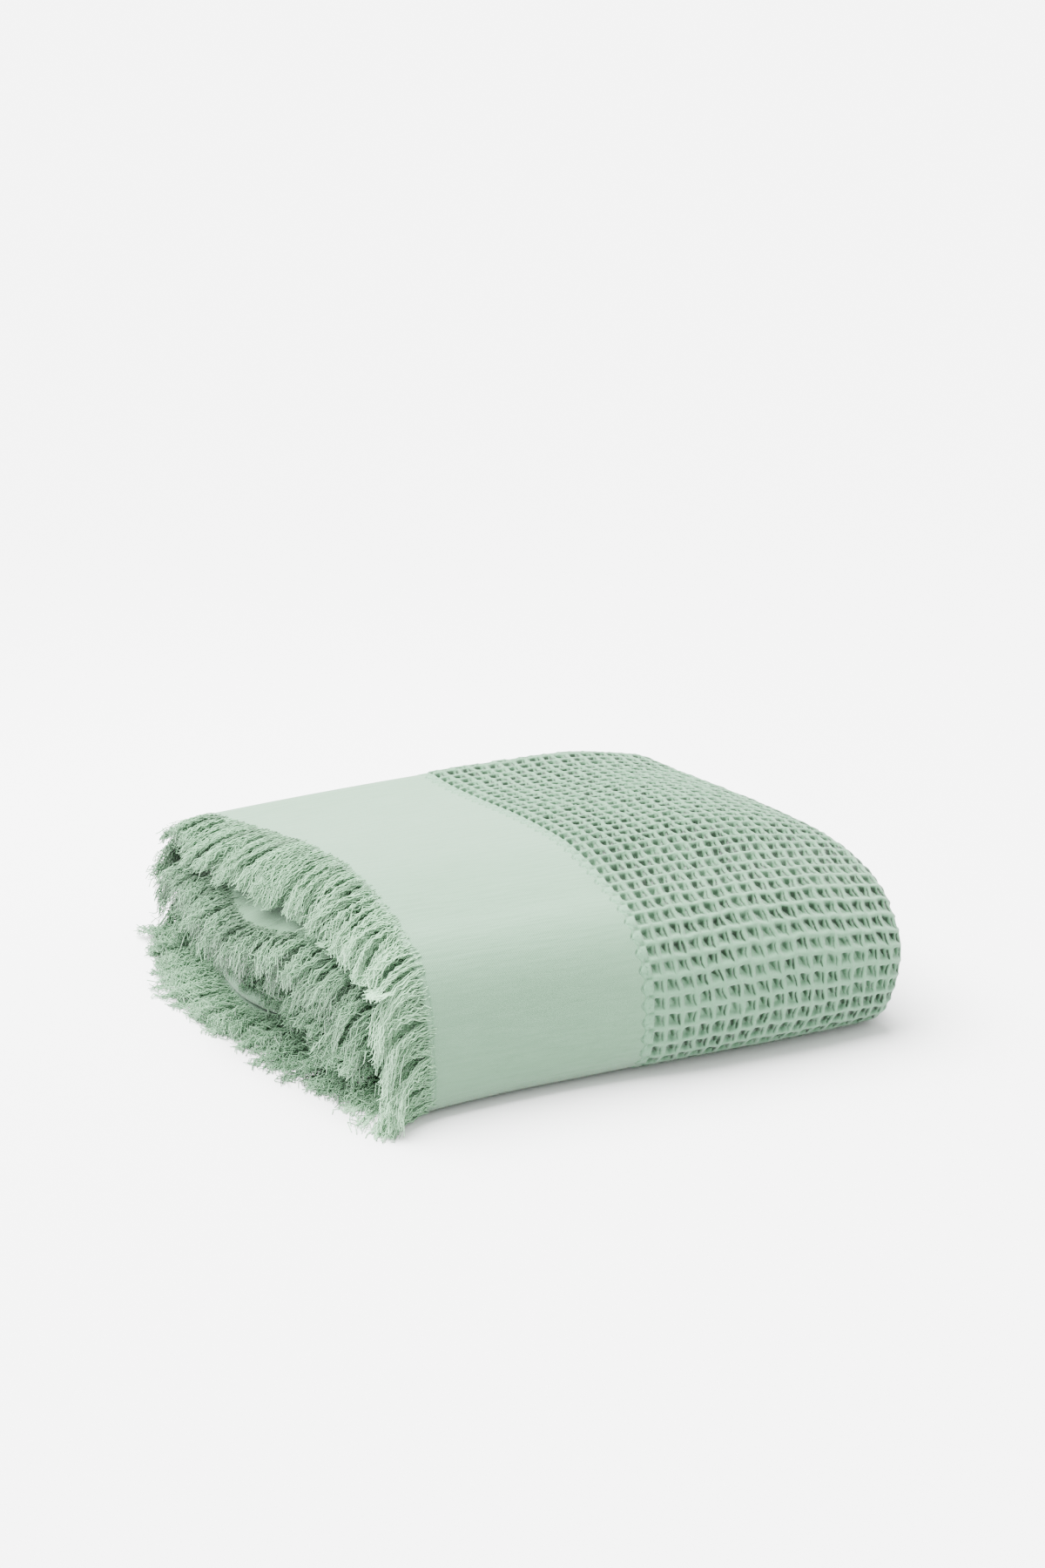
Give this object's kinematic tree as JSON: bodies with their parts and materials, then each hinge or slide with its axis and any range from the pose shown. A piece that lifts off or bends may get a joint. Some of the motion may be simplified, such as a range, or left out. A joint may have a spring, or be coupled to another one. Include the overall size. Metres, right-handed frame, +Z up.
{
  "type": "waffle weave cotton blanket",
  "caption": "Folded waffle weave cotton blanket in pale sage with a plain twill end band and a thick fringe, lying flat",
  "frame": {"origin": "on the surface the folded blanket lies on, under the middle of its box, fringe included", "axes": "+Z up; X runs along the cloth's length, with the fringed ends at -X and the folded end at +X; the big round front turn is at -Y and the back turn at +Y"},
  "size_m": [0.3816, 0.3456, 0.1034],
  "materials": {
    "sage_cotton": "matte woven cotton, pale sage green, waffle weave with a plain twill band at each end",
    "outer_yarn": "matte loose cotton yarn, pale sage green",
    "inner_yarn": "matte loose cotton yarn, pale sage green"
  },
  "bodies": {
    "root": {"blanket": "sage_cotton", "fringe_outer": "outer_yarn", "fringe_inner": "inner_yarn"}
  },
  "joints": []
}
